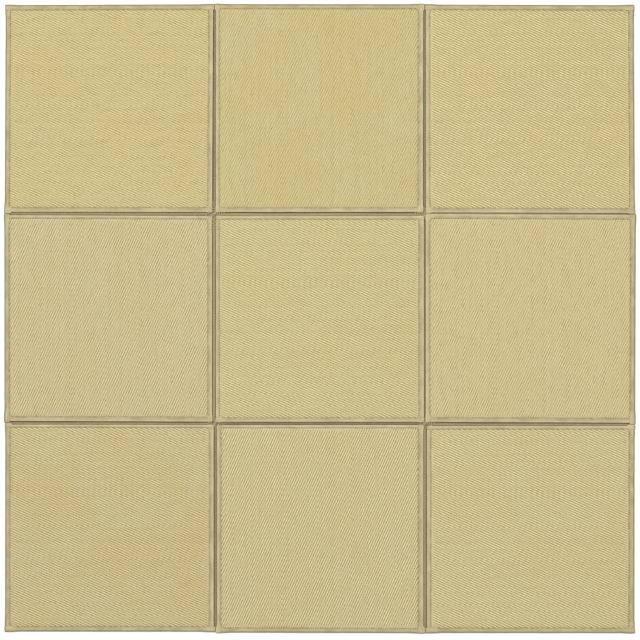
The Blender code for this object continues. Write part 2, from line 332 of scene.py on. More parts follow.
def twill(tree, local):
    """The pattern of the weave: a point's place in it, which rush it is on and that rush's chance
    value, which float along the rush, and the height of the surface from 0 to 1."""
    # The weave wanders by up to a millimetre, as it does where the warps are less tight
    wander = add(tree, "TexNoise", {"Vector": local, "Scale": 1 / (90.9 * MM), "Detail": 2.0})
    wander = add(tree, "VectorMath", {0: wander.outputs["Color"], 1: (0.5, 0.5, 0.5)}, operation="SUBTRACT")
    wander = add(tree, "VectorMath", {0: wander, "Scale": 1.6 * MM}, operation="SCALE")
    place = add(tree, "VectorMath", {0: local, 1: wander}, operation="ADD")
    place = add(tree, "SeparateXYZ", {0: place})
    across = add(tree, "Math", {0: place.outputs[1], 1: RUSH}, operation="DIVIDE")
    row = add(tree, "Math", {0: across}, operation="FLOOR")
    within = add(tree, "Math", {0: across}, operation="FRACT")
    # How far round it a point of this rush is: 1 on its crown, 0 between two rushes
    crown = add(tree, "Math", {0: within, 1: 0.5}, operation="SUBTRACT")
    crown = add(tree, "Math", {0: crown, 1: crown}, operation="MULTIPLY")
    crown = add(tree, "Math", {0: crown, 1: -4.0, 2: 1.0}, operation="MULTIPLY_ADD")
    # Phase along the twill's repeat. Each rush is off by a little of its own.
    chance = add(tree, "TexWhiteNoise", {"W": row}, noise_dimensions="1D").outputs["Value"]
    shift = add(tree, "Math", {0: row, 1: 0.25}, operation="MULTIPLY")
    shift = add(tree, "Math", {0: chance, 1: 0.1, 2: shift}, operation="MULTIPLY_ADD")
    phase = {0: place.outputs[0], 1: 1 / REPEAT_ALONG, 2: shift}
    phase = add(tree, "Math", phase, operation="MULTIPLY_ADD")
    count = add(tree, "Math", {0: phase}, operation="FLOOR")
    phase = add(tree, "Math", {0: phase}, operation="FRACT")
    # A float rises over a sixth of the repeat and dives under the fourth warp
    rise = {"Value": phase, "From Min": 0.0, "From Max": 0.16}
    rise = add(tree, "MapRange", rise, interpolation_type="SMOOTHSTEP")
    dive = {"Value": phase, "From Min": 0.62, "From Max": 0.8, "To Min": 1.0, "To Max": 0.0}
    dive = add(tree, "MapRange", dive, interpolation_type="SMOOTHSTEP")
    float_up = add(tree, "Math", {0: rise, 1: dive}, operation="MULTIPLY")
    height = add(tree, "Math", {0: crown, 1: 0.6, 2: 0.4}, operation="MULTIPLY_ADD")
    height = add(tree, "Math", {0: height, 1: float_up}, operation="MULTIPLY")
    return place.outputs[0], row, chance, count, height


def rush_tones(tree, along, row, chance, count):
    """The colours of dried rushes: each rush, each float and each stretch of a rush has its own."""
    one = add(tree, "CombineXYZ", {0: count, 1: row})
    float_chance = add(tree, "TexWhiteNoise", {"Vector": one}, noise_dimensions="2D")
    along = add(tree, "Math", {0: along, 1: 111 * MM}, operation="DIVIDE")
    apart = add(tree, "Math", {0: row, 1: 2.7}, operation="DIVIDE")
    streak = add(tree, "CombineXYZ", {0: along, 1: apart})
    streak = add(tree, "TexNoise", {"Vector": streak, "Scale": 1.0, "Detail": 2.0})
    tone = {0: float_chance.outputs["Value"], 1: 0.16, 2: 0.3}
    tone = add(tree, "Math", tone, operation="MULTIPLY_ADD")
    tone = add(tree, "Math", {0: chance, 1: 0.1, 2: tone}, operation="MULTIPLY_ADD")
    tone = add(tree, "Math", {0: streak.outputs["Fac"], 1: 0.14, 2: tone}, operation="MULTIPLY_ADD")
    ramp = add(tree, "ValToRGB", {0: tone})
    for position, colour in ((0.2, "#CDBF8A"), (0.45, "#E3D8A6"), (0.8, "#F9EEBF")):
        stop = ramp.color_ramp.elements.new(position)
        stop.color = linear(colour)
    ramp.color_ramp.elements.remove(ramp.color_ramp.elements[0])
    ramp.color_ramp.elements.remove(ramp.color_ramp.elements[-1])
    return ramp


def woven_rush(panel, straw, contrast, warmth):
    """Dried igusa rush, woven in a 3/1 twill: satiny yellow dashes in diagonal ribs, with painted
    shade in the troughs where each rush dips under a warp and between the rushes. Single rushes
    differ in colour along their whole length, and the mat yellows in soft patches."""
    material, tree = start_material("woven_rush_" + panel)
    where = add(tree, "TexCoord").outputs["Object"]
    # x runs along the rushes and y across them, in metres from the panel's middle
    middle = sum(corners_of(panel), Vector()) / 4
    local = {"Vector": where, "Location": middle, "Rotation": (0, 0, pi / 2 * (panel in TURNED))}
    local = add(tree, "Mapping", local, vector_type="TEXTURE")
    along, row, chance, count, height = twill(tree, local)
    # Painted shade: the troughs and the gaps between rushes are darker than the floats' crowns,
    # more in some places than in others
    shade_variation = {0: local, 1: (1 / (38.5 * MM), 1 / (16.7 * MM), 0)}
    shade_variation = add(tree, "VectorMath", shade_variation, operation="MULTIPLY")
    shade_variation = add(tree, "TexNoise", {"Vector": shade_variation, "Scale": 1.0, "Detail": 1.0})
    depth = {"Value": shade_variation.outputs["Fac"], "From Min": 0.3, "From Max": 0.7}
    depth = add(tree, "MapRange", {**depth, "To Min": 0.3 * contrast, "To Max": 1.7 * contrast})
    lit = add(tree, "Math", {0: height, 1: 0.5}, operation="SUBTRACT")
    lit = {0: lit, 1: depth, 2: 1 - contrast / 2}
    lit = add(tree, "Math", lit, operation="MULTIPLY_ADD", use_clamp=True)
    tones = rush_tones(tree, along, row, chance, count)
    colour = add(tree, "Mix", {"Factor": lit, UNDER: linear("#8A7D4E"), OVER: tones}, **BLENDED)
    # Soft patches, warmer and paler
    patch = {"Vector": local, "Scale": 1 / (167 * MM), "Detail": 3.0, "Roughness": 0.55}
    patch = add(tree, "TexNoise", patch).outputs["Fac"]
    patch = {"Value": patch, "From Min": 0.35, "From Max": 0.7, "To Min": 0.0, "To Max": warmth}
    patch = add(tree, "MapRange", patch)
    colour = {"Factor": patch, UNDER: colour.outputs[BLEND], OVER: linear("#FFEFCC")}
    colour = add(tree, "Mix", colour, **TINTED)
    # Next to the sewn tape the rush ends lie flat and look paler
    ends = add(tree, "Attribute", attribute_name="pressed")
    ends = add(tree, "Math", {0: ends.outputs["Fac"], 1: 0.75}, operation="MULTIPLY")
    colour = {"Factor": ends, UNDER: colour.outputs[BLEND], OVER: linear("#D3C6A0")}
    colour = add(tree, "Mix", colour, **BLENDED)
    # The panel's tint: its own tone, and partly painted shade, darker towards the top left where the
    # softbox lights the mat more
    colour = {"Factor": 1.0, UNDER: colour.outputs[BLEND], OVER: linear(straw)}
    colour = add(tree, "Mix", colour, **TINTED)
    # Fine lengthwise skin of each rush
    grain = {0: local, 1: (1 / (16.7 * MM), 1 / (0.556 * MM), 1 / (16.7 * MM))}
    grain = add(tree, "VectorMath", grain, operation="MULTIPLY")
    grain = add(tree, "TexNoise", {"Vector": grain, "Scale": 1.0, "Detail": 1.0})
    height = add(tree, "Math", {0: grain.outputs["Fac"], 1: 0.12, 2: height}, operation="MULTIPLY_ADD")
    bump = add(tree, "Bump", {"Height": height, "Strength": 1.0, "Distance": 0.55 * MM})
    look = {"Base Color": colour.outputs[BLEND], "Normal": bump}
    shader = add(tree, "BsdfPrincipled", {**look, "Roughness": 0.62, "Specular IOR Level": 0.3})
    add(tree, "OutputMaterial", {"Surface": shader})
    return material


def cotton_tape(name, fold, share, start, stop):
    """Plain-woven cotton tape, matt, its colour between hay and sand. Along its fold, from stop
    to start in metres from the fold's middle, it takes on the fold's colour: painted shade where
    it is folded round the mat's own edge, a painted highlight where it is folded along a laced
    gap. Painted shade darkens it in the sewn groove and at lapped ends on the mat's own edge."""
    material, tree = start_material(name)
    cloth = add(tree, "Attribute", attribute_name="cloth").outputs["Vector"]
    along, across, seam = add(tree, "SeparateXYZ", {0: cloth}).outputs
    where = add(tree, "TexCoord").outputs["Object"]
    # Threads of 0.6 mm, drawn coarser than the real 0.4 mm so that they show
    warp = add(tree, "Math", {0: along, 1: 2 * pi / (0.6 * MM)}, operation="MULTIPLY")
    warp = add(tree, "Math", {0: warp}, operation="SINE")
    weft = add(tree, "Math", {0: across, 1: 2 * pi / (0.6 * MM)}, operation="MULTIPLY")
    weft = add(tree, "Math", {0: weft}, operation="SINE")
    weave = add(tree, "Math", {0: warp, 1: weft}, operation="MULTIPLY")
    # Slubs: threads thicker for a while, mostly lengthwise
    slub = {0: cloth, 1: (1 / (33.3 * MM), 1 / (2.38 * MM), 0)}
    slub = add(tree, "VectorMath", slub, operation="MULTIPLY")
    slub = add(tree, "TexNoise", {"Vector": slub, "Scale": 1.0, "Detail": 3.0}).outputs["Fac"]
    soil = {"Vector": where, "Scale": 1 / (55.6 * MM), "Detail": 4.0, "Roughness": 0.6}
    soil = add(tree, "TexNoise", soil).outputs["Fac"]
    tone = add(tree, "Math", {0: slub, 1: soil}, operation="ADD")
    tone = add(tree, "MapRange", {"Value": tone, "From Min": 0.78, "From Max": 1.22})
    colour = {"Factor": tone, UNDER: linear("#A3966F"), OVER: linear("#BFB289")}
    colour = add(tree, "Mix", colour, **BLENDED)
    # The fold's colour is painted shade round the mat's own edge and a painted highlight on the folds at
    # the laced gaps
    # across is 0 on the fold's middle and grows to both inner edges
    edge = add(tree, "Math", {0: across}, operation="ABSOLUTE")
    edge = {"Value": edge, "From Min": start, "From Max": stop, "To Min": share, "To Max": 0.0}
    edge = add(tree, "MapRange", edge, interpolation_type="SMOOTHSTEP")
    colour = {"Factor": edge, UNDER: colour.outputs[BLEND], OVER: linear(fold)}
    colour = add(tree, "Mix", colour, **BLENDED)
    # Painted shade in the sewn groove, along the tape's inner edge and at lapped ends on the mat's
    # own edge, stronger in some places than in others
    shade_variation = add(tree, "Math", {0: along, 1: 11.1 * MM}, operation="DIVIDE")
    shade_variation = add(tree, "TexNoise", {"W": shade_variation, "Scale": 1.0, "Detail": 2.0}, noise_dimensions="1D")
    shade_variation = {"Value": shade_variation.outputs["Fac"], "From Min": 0.35, "From Max": 0.65}
    shade_variation = add(tree, "MapRange", {**shade_variation, "To Min": 0.35, "To Max": 1.1})
    groove = add(tree, "Math", {0: seam, 1: shade_variation}, operation="MULTIPLY", use_clamp=True)
    colour = {"Factor": groove, UNDER: colour.outputs[BLEND], OVER: linear("#6E5F3C")}
    colour = add(tree, "Mix", colour, **BLENDED)
    height = add(tree, "Math", {0: slub, 1: 0.8, 2: weave}, operation="MULTIPLY_ADD")
    bump = add(tree, "Bump", {"Height": height, "Strength": 0.6, "Distance": 0.12 * MM})
    look = {"Base Color": colour.outputs[BLEND], "Normal": bump, "Roughness": 0.9}
    fuzz = {"Specular IOR Level": 0.2, "Sheen Weight": 0.15, "Sheen Roughness": 0.6}
    shader = add(tree, "BsdfPrincipled", {**look, **fuzz})
    add(tree, "OutputMaterial", {"Surface": shader})
    return material


def waxed_thread(name, light, dark):
    """Twisted cotton thread, matt, in short light and dark turns, and darkened with painted shade
    where it is sunk between the tapes."""
    material, tree = start_material(name)
    where = add(tree, "TexCoord").outputs["Object"]
    twist = add(tree, "TexNoise", {"Vector": where, "Scale": 1 / (1.111 * MM), "Detail": 1.0})
    tone = add(tree, "MapRange", {"Value": twist.outputs["Fac"], "From Min": 0.35, "From Max": 0.65})
    colour = add(tree, "Mix", {"Factor": tone, UNDER: linear(dark), OVER: linear(light)}, **BLENDED)
    # Painted shade where the thread is sunk between the tapes
    sunk = add(tree, "Attribute", attribute_name="sunk")
    sunk = add(tree, "Math", {0: sunk.outputs["Fac"], 1: 0.9}, operation="MULTIPLY", use_clamp=True)
    colour = {"Factor": sunk, UNDER: colour.outputs[BLEND], OVER: linear("#3E3319")}
    colour = add(tree, "Mix", colour, **BLENDED)
    bump = add(tree, "Bump", {"Height": twist.outputs["Fac"], "Strength": 0.5, "Distance": 0.2 * MM})
    look = {"Base Color": colour.outputs[BLEND], "Normal": bump}
    shader = add(tree, "BsdfPrincipled", {**look, "Roughness": 0.8, "Specular IOR Level": 0.25})
    add(tree, "OutputMaterial", {"Surface": shader})
    return material


def studio_paper():
    """Seamless white background paper, matt and even."""
    material, tree = start_material("background_paper_matt")
    where = add(tree, "TexCoord").outputs["Object"]
    fibre = add(tree, "TexNoise", {"Vector": where, "Scale": 1 / (25 * MM), "Detail": 3.0})
    colour = {"Factor": fibre.outputs["Fac"], UNDER: linear("#F9F9F8"), OVER: linear("#FBFBFA")}
    colour = add(tree, "Mix", colour, **BLENDED)
    look = {"Base Color": colour.outputs[BLEND], "Roughness": 0.95, "Specular IOR Level": 0.1}
    shader = add(tree, "BsdfPrincipled", look)
    add(tree, "OutputMaterial", {"Surface": shader})
    return material


# Rush panels
def depths_in(panel, x, y):
    """How far a point lies in from the sewn edge of the tape on each side."""
    line, tape = OUTLINES[panel], BINDINGS[panel]
    up = (y / MM - line.bottom_left) / (line.top_left - line.bottom_left)
    across = (x / MM - line.left_bottom) / (line.right_bottom - line.left_bottom)
    return (
        (mix(line.right_bottom, line.right_top, up) - tape.right) * MM - x,
        (mix(line.top_left, line.top_right, across) - tape.top) * MM - y,
        x - (mix(line.left_bottom, line.left_top, up) + tape.left) * MM,
        y - (mix(line.bottom_left, line.bottom_right, across) + tape.bottom) * MM,
    )


def rush_panel(panel):
    """The woven slab: a face in relief, pressed down towards and under the tapes, with thin
    edges that go into them, and a flat back."""
    turned = panel in TURNED
    middle = sum(corners_of(panel), Vector()) / 4
    steps = (ACROSS_STEP, ALONG_STEP) if turned else (ALONG_STEP, ACROSS_STEP)
    counts = [round(FIELD / step) for step in steps]
    size = Vector((counts[0] * steps[0], counts[1] * steps[1], 1))
    bm = bmesh.new()
    pressed = bm.verts.layers.float.new("pressed")
    bmesh.ops.create_grid(bm, x_segments=counts[0], y_segments=counts[1], size=0.5)
    bmesh.ops.scale(bm, verts=bm.verts, vec=size)
    border = [edge for edge in bm.edges if edge.is_boundary]
    ends, flanks = ((1, 3), (0, 2)) if turned else ((0, 2), (1, 3))
    for vert in bm.verts:
        x, y = vert.co.x, vert.co.y
        along, across = (y, -x) if turned else (x, y)
        depths = depths_in(panel, x + middle.x, y + middle.y)
        end = min(depths[k] for k in ends)
        flank = min(depths[k] for k in flanks)
        drop = 2 - smooth(0.5 * MM, PRESS_RUN, end) - smooth(0.5 * MM, PRESS_RUN, flank)
        # Crests lie where the pattern's floats are highest, 3/8 of a repeat along
        phase = along / REPEAT_ALONG + across / REPEAT_ACROSS
        rib = cos(2 * pi * (phase - 0.375)) * smooth(-2 * MM, 3 * MM, min(end, flank))
        sway = noise.noise(Vector((x + middle.x, y + middle.y, 0)) * 9.0)
        vert.co.z = FACE + rib * RELIEF - drop * PRESSED + SLAB_SWAY * sway
        worn = smooth(-0.35, 0.25, noise.noise(Vector((x + middle.x, y + middle.y, 5)) * 14.0))
        vert[pressed] = (1 - smooth(2 * MM, 7 * MM, end)) * worn
    tape = BINDINGS[panel]
    inner = (
        1 - 2 * (max(tape.left, tape.right) * MM + 1 * MM - (SIDE - size.x) / 2) / size.x,
        1 - 2 * (max(tape.top, tape.bottom) * MM + 1 * MM - (SIDE - size.y) / 2) / size.y,
    )
    for shrink, level in (((1, 1), EDGE), (inner, EDGE), ((BACK_SHARE, BACK_SHARE), BACK)):
        made = bmesh.ops.extrude_edge_only(bm, edges=border)["geom"]
        ring = [item for item in made if isinstance(item, bmesh.types.BMVert)]
        border = [item for item in made if isinstance(item, bmesh.types.BMEdge) and item.is_boundary]
        bmesh.ops.scale(bm, verts=ring, vec=(*shrink, 1))
        for vert in ring:
            vert.co.z = level
    bmesh.ops.edgeloop_fill(bm, edges=border)
    bmesh.ops.translate(bm, verts=bm.verts, vec=middle)
    bmesh.ops.recalc_face_normals(bm, faces=bm.faces)
    return bm


# Binding tapes
# One cross-section of a tape on the side that faces +X: where it stands along that side, how far
# its fold reaches out past the side's line, how far it reaches in, its lowest and highest points,
# how free the cloth is to swell, how much painted shade darkens it, and whether the fold is closed there
Section = namedtuple("Section", "along out inward low high free soil closed")


def between(sections, along):
    """The section at a place between two given ones, with smooth steps."""
    for near, far in zip(sections, sections[1:]):
        if along <= far.along:
            break
    share = smooth(near.along, far.along, along)
    values = [mix(a, b, share) for a, b in zip(near[1:7], far[1:7])]
    return Section(along, *values, False)


def gaps_at(panel, corner):
    """The widths along X and along Y of the gaps that meet a panel's corner, 0 on the mat's own
    edge."""
    row, column = int(panel[1]), int(panel[3])
    up, on = divmod(corner, 2)
    beside, above = f"r{row}c{column + 2 * on - 1}", f"r{row + 1 - 2 * up}c{column}"
    here = corners_of(panel)[corner]
    gaps = []
    for axis, (neighbour, other) in enumerate(((beside, corner ^ 1), (above, corner ^ 2))):
        there = corners_of(neighbour)[other] if neighbour in OUTLINES else here
        gaps.append(abs(there[axis] - here[axis]))
    return gaps


def swell_at(panel, corner):
    """How far the lapped cloth at a panel's corner swells out along X and along Y: by the cloth's
    own thickness, and on the mat's own edge nearly up to the neighbour's corner across a gap."""
    gaps = gaps_at(panel, corner)
    return [max(LAYER, (gap - SLIT) / 2) if 0 in gaps else LAYER for gap in gaps]


def tape_sections(panel, turn, tucked, outside):
    """The rings' sections along a tape. A tucked tape dips under the lapping tapes at its two
    ends; a lapping tape steps out round the tucked ones and is folded shut over them."""
    binding = BINDINGS[panel]
    width, after, before = (
        getattr(binding, SIDES[(turn + step) % len(SIDES)]) * MM for step in (0, 1, -1)
    )
    seed = 3.7 * turn + 11.3 * list(BINDINGS).index(panel)
    # How far its lapped corners stand out and reach on, at its start and at its end
    swells = [swell_at(panel, corner) for corner in ((1, 3), (3, 2), (2, 0), (0, 1))[turn]]
    swells = [swell if turn % 2 == 0 else swell[::-1] for swell in swells]
    # Which of its ends lie on the mat's own edge, where painted shade darkens a lapping tape's end
    painted_shade_outside = [(panel[1::2], SIDES[(turn + step) % len(SIDES)]) in OUTSIDE for step in (-1, 1)]
    low, high = before + STEP_CLEAR - HALF, HALF - after - STEP_CLEAR
    start, end = (-HALF, HALF) if tucked else (-HALF - swells[0][1], HALF + swells[1][1])
    run = SWELL_RUN if outside and not tucked else STEP_RUN
    places = (start, low, low + run, high - run, high, end)
    drops = (1, 1, 0, 0, 1, 1)
    if tucked:
        marks = [
            Section(place, 0, width, drop * LAYER, THICKNESS - drop * LAYER, 1 - drop, 0, False)
            for place, drop in zip(places, drops)
        ]
    else:
        marks = [
            Section(place, drop * swells[place > 0][0], width, 0, THICKNESS, 1 - drop, 0, False)
            for place, drop in zip(places, drops)
        ]
    stops = {start, end, low, high}
    stops |= {low + STEP_RUN * k / 3 for k in (1, 2, 3)} | {high - STEP_RUN * k / 3 for k in (1, 2, 3)}
    count = round((high - low - 2 * STEP_RUN) / RING_STEP)
    stops |= {mix(low + STEP_RUN, high - STEP_RUN, k / count) for k in range(count)}
    if not tucked:
        stops -= {start, end}
        stops |= {start + CORNER_ROUND + 0.1 * MM, end - CORNER_ROUND - 0.1 * MM}
        stops |= {start + reach for reach in END_SHADE_RUN} | {end - reach for reach in END_SHADE_RUN}
        stops |= {0.4 * low + 0.6 * start, 0.4 * high + 0.6 * end}

    def soil(along):
        """How much painted shade darkens a lapping tape's end, where it lies on the mat's own edge."""
        depths = (along - start, end - along)
        return 0 if tucked else END_SHADE * max(on * (1 - smooth(*END_SHADE_RUN, d)) for on, d in zip(painted_shade_outside, depths))

    sections = []
    for along in sorted(stops):
        section = between(marks, along)
        sway = noise.noise(Vector((along * 22, seed, 0.0)))
        swell = noise.noise(Vector((along * 35, seed, 7.0)))
        out = section.out - FOLD_SWAY * abs(sway) * section.free
        if tucked and outside:
            depth = min(along - low, high - along)
            out += SWELL * section.free * (1 - smooth(STEP_RUN, SWELL_RUN, depth))
        sections.append(
            section._replace(
                out=out,
                inward=section.inward + EDGE_SWAY * swell * section.free,
                high=section.high + FACE_SWAY * swell * section.free,
                soil=soil(along),
            )
        )
    if tucked:
        return sections

    def rounded(section, way, share):
        inset = CORNER_ROUND * (1 - (1 - (1 - share) ** 2) ** 0.5)
        along = section.along + way * share * CORNER_ROUND
        return section._replace(
            along=along,
            out=section.out - inset,
            low=section.low + inset,
            high=section.high - inset,
            soil=soil(along),
        )

    first, last = marks[0]._replace(closed=True), marks[-1]._replace(closed=True)
    return [
        *(rounded(first, 1, share) for share in (0, 0.3, 1)),
        *sections,
        *(rounded(last, -1, share) for share in (1, 0.3, 0)),
    ]


def folded_ring(section, fold):
    """A closed line round the tape's cloth in one cross-section, and its marks: place along the
    tape, place across it from the fold's middle, and how much painted shade darkens it, near the
    sewn groove and at a lapped end on the mat's own edge."""
    reach = section.out + section.inward
    radius = min(fold, (section.high - section.low) / 2 - 0.2 * MM)
    outer, inner, across = [], [], []
    for share, rise in CROWN:
        x, z = section.out - share * reach, section.high + rise * MM * section.free
        outer.append((x, z))
        inner.append((x, z - TAPE))
        across.append(share * reach)
    for middle, start in ((section.high - radius, pi / 2), (section.low + radius, 0)):
        for k in range(4):
            turn = start - k * pi / 6
            x, z = section.out - radius, middle
            outer.append((x + radius * cos(turn), z + radius * sin(turn)))
            inner.append((x + (radius - TAPE) * cos(turn), z + (radius - TAPE) * sin(turn)))
            across.append(radius * turn)
    outer.append((section.out - reach, section.low))
    inner.append((section.out - reach, section.low + TAPE))
    across.append(-reach)
    if section.closed:
        top, bottom = Vector(outer[0]), Vector(outer[-1])
        inner = [top.lerp(bottom, (k + 1) / (len(inner) + 1)) for k in range(len(inner))]
    line = [*outer, *reversed(inner)]
    ring = [Vector((HALF + x, section.along, z)) for x, z in line]
    seams = [*GROOVE_SHADE] + [0.0] * (len(outer) - len(GROOVE_SHADE))
    marks = [Vector((section.along, a, max(s * section.free, section.soil))) for a, s in zip(across, seams)]
    return ring, [*marks, *reversed(marks)]


def binding_tape(panel, turn, tucked, outside):
    """One tape folded round a side of a panel."""
    sections = tape_sections(panel, turn, tucked, outside)
    fold = FOLD_OUTSIDE if outside else FOLD_INSIDE
    bm = bmesh.new()
    cloth = bm.verts.layers.float_vector.new("cloth")
    rings, marks = zip(*(folded_ring(section, fold) for section in sections))
    loft(bm, rings, marks, cloth)
    bmesh.ops.rotate(bm, verts=bm.verts, matrix=Matrix.Rotation(turn * pi / 2, 3, "Z"))
    pull_to_outline(bm, panel)
    bmesh.ops.recalc_face_normals(bm, faces=bm.faces)
    width = getattr(BINDINGS[panel], SIDES[turn]) * MM
    return bm, (2 * width + HEM, sections[-1].along - sections[0].along)


def stitching(panel):
    """The rows of machine stitches that hold a panel's four tapes."""
    bm = bmesh.new()
    binding = BINDINGS[panel]
    for turn, side in enumerate(SIDES):
        tucked = is_tucked(panel, turn)
        width, after, before = (
            getattr(binding, SIDES[(turn + step) % len(SIDES)]) * MM for step in (0, 1, -1)
        )
        low, high = (before - HALF, HALF - after) if tucked else (4 * MM - HALF, HALF - 4 * MM)
        count = floor((high - low) / STITCH_PITCH)
        turned = Matrix.Rotation(turn * pi / 2, 4, "Z")
        for k in range(count):
            along = low + (k + 0.5) * (high - low) / count
            free = smooth(before - HALF, before - HALF + 5 * MM, along)
            free *= smooth(after - HALF, after - HALF + 5 * MM, -along)
            z = THICKNESS + CROWN[1][1] * MM * free + 0.12 * MM
            wobble = noise.noise(Vector((along * 60, turn, width * 900)))
            place = Matrix.Translation((HALF - width * SEWN + 0.3 * MM * wobble, along, z))
            tilt = Matrix.Rotation(STITCH_SLANT + 0.1 * wobble, 4, "Z")
            shape = Matrix.Diagonal((*STITCH, 1))
            bmesh.ops.create_icosphere(
                bm, subdivisions=1, radius=1, matrix=turned @ place @ tilt @ shape
            )
    pull_to_outline(bm, panel)
    return bm


# Laced hinges
def gap_corners(hinge, ends):
    """The ends of the gap between two panels' sides, moved in by these lengths: at its start on
    the first and the second panel, and at its end on the first and the second."""
    first, second = corners_of(hinge.first), corners_of(hinge.second)
    if hinge.side == "right":
        sides = (first[1], first[3]), (second[0], second[2])
    else:
        sides = (first[0], first[1]), (second[2], second[3])
    starts = [side[0].lerp(side[1], end / SIDE) for side, end in zip(sides, ends[0])]
    stops = [side[1].lerp(side[0], end / SIDE) for side, end in zip(sides, ends[1])]
    return *starts, *stops


def laced_hinge(hinge):
    """A bundle of threads along the gap, round on top and low at its sides, which passes on
    between the lapped corners. A thicker thread is wound round it and bites into both tapes, and
    short bars of thread hold its ends."""
    upright = hinge.side == "right"
    reach, aside = (1, 0) if upright else (0, 1)
    # The panels' corners and the tapes that lap there, at the gap's start and at its end
    corner_pairs = ((1, 0), (3, 2)) if upright else ((0, 2), (1, 3))
    lap_sides = ("bottom", "top") if upright else ("left", "right")
    panels = (hinge.first, hinge.second)
    ends, laps, swells = [], [], []
    for pair, side in zip(corner_pairs, lap_sides):
        # At the upper inner corners the upright bundles run through, at the lower the level ones
        through = upright == (corners_of(hinge.first)[pair[0]].y > 0)
        crossing = [gaps_at(panel, corner)[reach] for panel, corner in zip(panels, pair)]
        ends.append([HINGE_INSET - through * gap / 2 for gap in crossing])
        swells.append([swell_at(panel, corner)[aside] for panel, corner in zip(panels, pair)])
        laps.append([getattr(BINDINGS[panel], side) * MM for panel in panels])
    corners = gap_corners(hinge, ends)
    lengths = [(corners[2] - corners[0]).length, (corners[3] - corners[1]).length]
    length = lengths[0]
    width = abs(corners[1][aside] - corners[0][aside])
    thread = min(LACE, LACE_SHARE * width)
    bar = min(BAR, BAR_SHARE * width)
    tucked = [is_tucked(panel, turn) for panel, turn in zip(panels, (0, 2) if upright else (3, 1))]
    bars = (hinge.start_bars, hinge.end_bars)

    def from_corners(along, which):
        """How far a place is from a panel's corners at the start and at the end."""
        share = along / length
        return share * lengths[which] + ends[0][which], (1 - share) * lengths[which] + ends[1][which]

    def room(which, along):
        """The share of the half gap that a panel's swollen corners leave free."""
        taken = 0
        for end, depth in enumerate(from_corners(along, which)):
            lap = laps[end][which] + (LOOSE if tucked[which] else STEP_CLEAR)
            run = LOOSE if tucked[which] else STEP_RUN
            beyond = smooth(*PAST_CORNER, -depth)
            beside = 1 - smooth(lap, lap + run, depth) - beyond
            taken = max(taken, swells[end][which] * beside)
        return max(0.15, 1 - 2 * (taken + LOOSE) / width)

    def place(across, along, z):
        """across is from -1 to 1 between the two tapes."""
        point = in_corners(corners, 0.5 + across / 2, along / length)
        return Vector((point.x, point.y, z))

    bm = bmesh.new()
    sunk = bm.verts.layers.float.new("sunk")
    # The bundle
    stops = {length * k / BUNDLE_STEPS for k in range(BUNDLE_STEPS + 1)}
    for end, which in ((0, 0), (0, 1), (1, 0), (1, 1)):
        lap = laps[end][which]
        past = [-reach for reach in reversed(PAST_CORNER)]
        for depth in (*past, *(lap + shift * MM for shift in (0, 0.7, 2.5, 4.5))):
            along = (depth - ends[end][which]) * length / lengths[which]
            if along > 0:
                stops.add(along if end == 0 else length - along)
    rings, marks = [], []
    for along in sorted({round(stop, 4) for stop in stops}):
        lean = hinge.lean + 0.5 * noise.noise(Vector((along * 9, width * 500, 1.0)))
        dive = max(
            (1 - smooth(0, DIVE_RUN, depth)) * (count == 0)
            for depth, count in zip(from_corners(along, 0), bars)
        )
        sink = (hinge.dusk * 0.8 + dive * 1.2) * MM
        ring, depths = [], []
        for across, z, depth in BUNDLE:
            # Painted shade: it is paler on the side it lies over to, darker on the other side, which is in
            # a deep groove, and darker still where it is sunk and where it dives towards an end
            over = across * lean
            depth = (depth + 0.5 * max(0, -over)) * (1 - 0.4 * max(0, over))
            depths.append(min(1, mix(depth, 1, 0.55 * hinge.dusk) + 0.4 * dive))
            across += 0.35 * lean * (1 - abs(across))
            ring.append(place(across * room(across > 0, along), along, max(0.5, z - sink / MM) * MM))
        rings.append(ring)
        marks.append(depths)
    loft(bm, rings, marks, sunk)
    # The winding
    start = max(laps[0]) - ends[0][0] + 1 * MM
    wound = length - max(laps[1]) + ends[1][0] - 1 * MM - start
    turns = floor(wound / LACE_PITCH)
    path = []
    for k in range(LACE_STEPS * turns + 1):
        turn = 2 * pi * k / LACE_STEPS
        wobble = noise.noise(Vector((k * 0.7, width * 700, 3.0)))
        bite = (1 - 1.1 * thread / width) * (1 - 0.3 * abs(hinge.lean))
        height = HINGE_HEIGHT + (1.0 * MM + thread / 2) * sin(turn) - 0.5 * MM * hinge.dusk
        along = start + wound * k / (LACE_STEPS * turns) + 0.5 * MM * wobble
        path.append(place(0.3 * hinge.lean - bite * cos(turn), along, height))
    # The winding thread's painted shade, stronger the more the bundle is sunk
    tube(bm, path, thread / 2, 4, sunk, 0.05 + 0.5 * hinge.dusk)
    # The bars, over the bundle's open side
    for end, count in enumerate(bars):
        for k in range(count):
            wobble = noise.noise(Vector((k * 1.7, end * 5.0, width * 300 + corners[0].x * 3)))
            along = BAR_START - ends[end][0] + BAR_PITCH * (k + 0.2 * wobble)
            along = along if end == 0 else length - along
            side = -1 if hinge.lean > 0.3 else 1 if hinge.lean < -0.3 else (-1) ** k
            hold = 1 + 2 * (2.0 + 1.0 * wobble) * MM / width
            tilt = side * (0.8 + 1.4 * wobble) * MM
            path = [
                place(side * hold, along - tilt, THICKNESS - 0.4 * MM),
                place(side * 1.0, along - 0.6 * tilt, THICKNESS + 0.3 * MM),
                place(side * 0.7, along - 0.3 * tilt, THICKNESS),
                place(side * 0.2, along, THICKNESS - 1.1 * MM),
                place(side * -0.3, along + 0.4 * tilt, THICKNESS - 2.4 * MM),
            ]
            tube(bm, path, bar / 2, 6)
    bmesh.ops.recalc_face_normals(bm, faces=bm.faces)
    return bm


